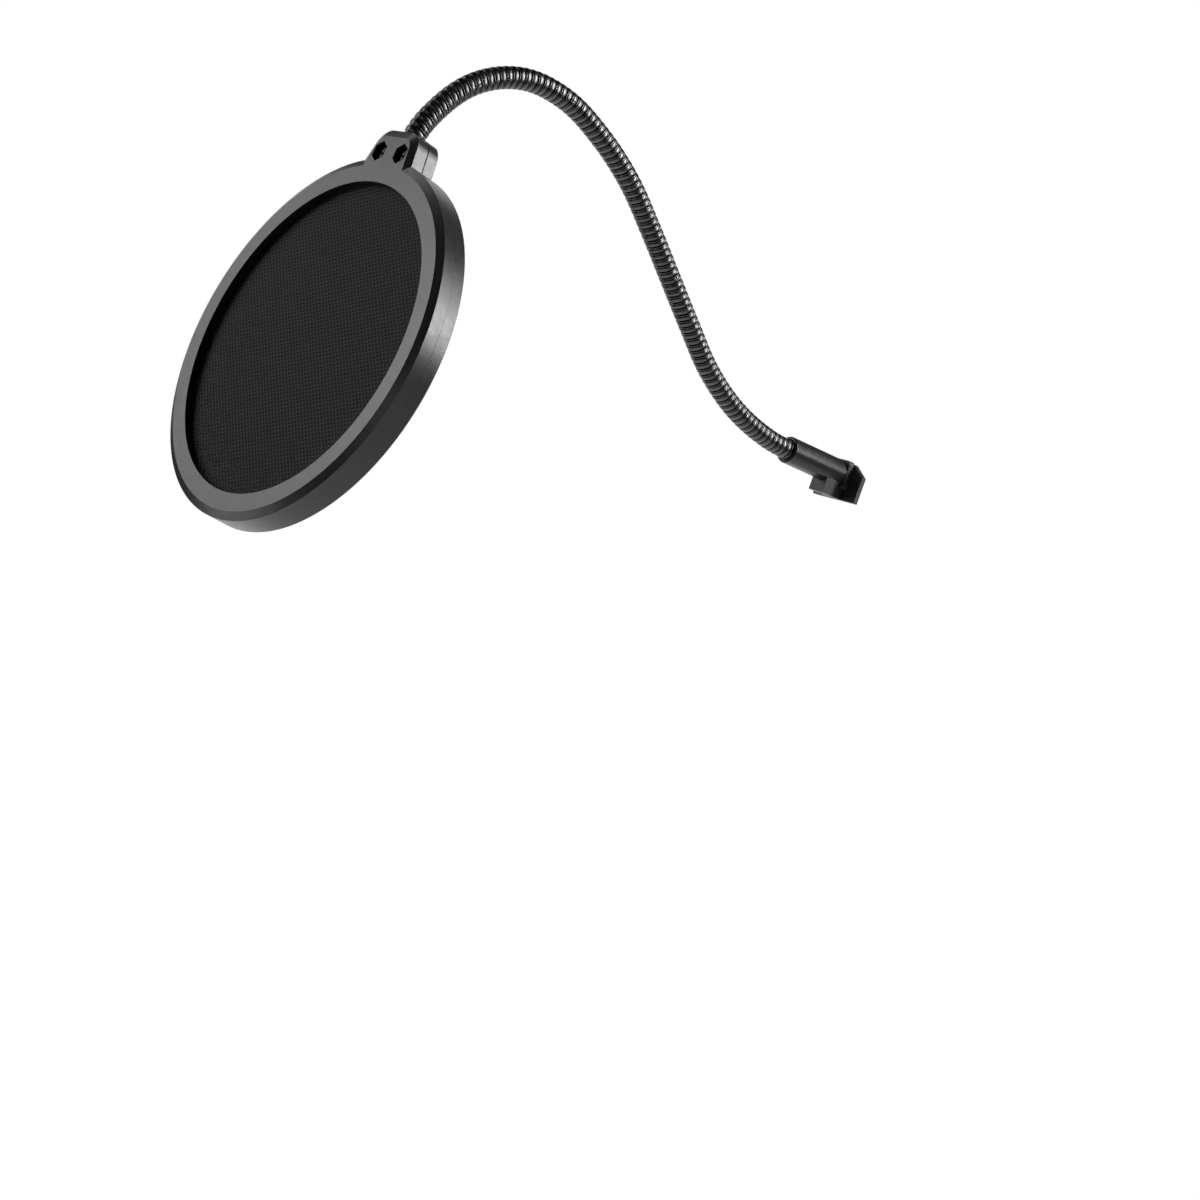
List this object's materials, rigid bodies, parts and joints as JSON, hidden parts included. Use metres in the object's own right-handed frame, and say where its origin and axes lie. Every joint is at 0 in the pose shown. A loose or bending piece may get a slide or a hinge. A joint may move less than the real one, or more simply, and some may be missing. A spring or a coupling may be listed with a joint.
{
  "type": "pop filter",
  "caption": "Round two-layer nylon pop filter in a split hoop, carried on an arched gooseneck that ends in a sleeve and a screw-down bracket.",
  "frame": {"origin": "middle of the bracket's seat, halfway between its two screw holes, on the underside", "axes": "+X along the sleeve towards the screen, +Z out of the seat towards the sleeve, Y across; the gooseneck's rest shape lies in the XZ plane"},
  "size_m": [0.2681, 0.135, 0.1866],
  "materials": {
    "hoop": "fine satin",
    "spacer": "matt",
    "mesh": "woven nylon",
    "fastener": "blackened",
    "neck_wrap": "polished black nickel",
    "neck_core": "drawn wire",
    "plug": "turned",
    "sleeve": "satin black",
    "bracket": "satin black"
  },
  "bodies": {
    "base": {"mount_bracket": "bracket", "sleeve": "sleeve", "base_plug": "plug", "neck_wrap_01": "neck_wrap", "neck_core_01": "neck_core"},
    "link_01": {"neck_wrap_02": "neck_wrap", "neck_core_02": "neck_core"},
    "link_02": {"neck_wrap_03": "neck_wrap", "neck_core_03": "neck_core"},
    "link_03": {"neck_wrap_04": "neck_wrap", "neck_core_04": "neck_core"},
    "link_04": {"neck_wrap_05": "neck_wrap", "neck_core_05": "neck_core"},
    "link_05": {"neck_wrap_06": "neck_wrap", "neck_core_06": "neck_core"},
    "link_06": {"neck_wrap_07": "neck_wrap", "neck_core_07": "neck_core"},
    "link_07": {"neck_wrap_08": "neck_wrap", "neck_core_08": "neck_core"},
    "link_08": {"neck_wrap_09": "neck_wrap", "neck_core_09": "neck_core"},
    "link_09": {"neck_wrap_10": "neck_wrap", "neck_core_10": "neck_core"},
    "link_10": {"neck_wrap_11": "neck_wrap", "neck_core_11": "neck_core"},
    "link_11": {"neck_wrap_12": "neck_wrap", "neck_core_12": "neck_core"},
    "screen": {"front_hoop": "hoop", "back_hoop": "hoop", "front_mesh": "mesh", "back_mesh": "mesh", "mesh_spacer": "spacer", "tab_screws": "fastener", "tab_nuts": "fastener", "top_plug": "plug", "neck_wrap_13": "neck_wrap", "neck_core_13": "neck_core"}
  },
  "joints": [
    {"name": "lower_pitch", "type": "hinge", "parent": "base", "child": "link_01", "pos_m": [0.04037, 0, 0.01079], "axis": [0, -1, 0], "range_deg": [-8, 8]},
    {"name": "lower_yaw", "type": "hinge", "parent": "link_01", "child": "link_02", "pos_m": [0.06056, 0, 0.0156], "axis": [-0.3341, 0, 0.9425], "range_deg": [-8, 8]},
    {"name": "lower_pitch_2", "type": "hinge", "parent": "link_02", "child": "link_03", "pos_m": [0.07928, 0, 0.02458], "axis": [0, -1, 0], "range_deg": [-8, 8]},
    {"name": "lower_yaw_2", "type": "hinge", "parent": "link_03", "child": "link_04", "pos_m": [0.09603, 0, 0.03689], "axis": [-0.6129, 0, 0.7902], "range_deg": [-8, 8]},
    {"name": "lower_pitch_3", "type": "hinge", "parent": "link_04", "child": "link_05", "pos_m": [0.11247, 0, 0.04964], "axis": [0, -1, 0], "range_deg": [-8, 8]},
    {"name": "lower_yaw_3", "type": "hinge", "parent": "link_05", "child": "link_06", "pos_m": [0.1289, 0, 0.06239], "axis": [-0.6129, 0, 0.7902], "range_deg": [-8, 8]},
    {"name": "upper_pitch", "type": "hinge", "parent": "link_06", "child": "link_07", "pos_m": [0.1458, 0, 0.07448], "axis": [0, -1, 0], "range_deg": [-8, 8]},
    {"name": "upper_yaw", "type": "hinge", "parent": "link_07", "child": "link_08", "pos_m": [0.16442, 0, 0.08371], "axis": [-0.3664, 0, 0.9304], "range_deg": [-8, 8]},
    {"name": "upper_pitch_2", "type": "hinge", "parent": "link_08", "child": "link_09", "pos_m": [0.18433, 0, 0.08964], "axis": [0, -1, 0], "range_deg": [-8, 8]},
    {"name": "upper_yaw_2", "type": "hinge", "parent": "link_09", "child": "link_10", "pos_m": [0.20493, 0, 0.08877], "axis": [0.2644, 0, 0.9644], "range_deg": [-8, 8]},
    {"name": "upper_pitch_3", "type": "hinge", "parent": "link_10", "child": "link_11", "pos_m": [0.2231, 0, 0.079], "axis": [0, -1, 0], "range_deg": [-8, 8]},
    {"name": "upper_yaw_3", "type": "hinge", "parent": "link_11", "child": "screen", "pos_m": [0.23519, 0, 0.0623], "axis": [0.9207, 0, 0.3903], "range_deg": [-8, 8]}
  ],
  "couplings": [
    {"joint": "lower_pitch_2", "follows": "lower_pitch", "ratio": 1},
    {"joint": "lower_yaw_2", "follows": "lower_yaw", "ratio": 1},
    {"joint": "lower_pitch_3", "follows": "lower_pitch", "ratio": 1},
    {"joint": "lower_yaw_3", "follows": "lower_yaw", "ratio": 1},
    {"joint": "upper_pitch_2", "follows": "upper_pitch", "ratio": 1},
    {"joint": "upper_yaw_2", "follows": "upper_yaw", "ratio": 1},
    {"joint": "upper_pitch_3", "follows": "upper_pitch", "ratio": 1},
    {"joint": "upper_yaw_3", "follows": "upper_yaw", "ratio": 1}
  ]
}
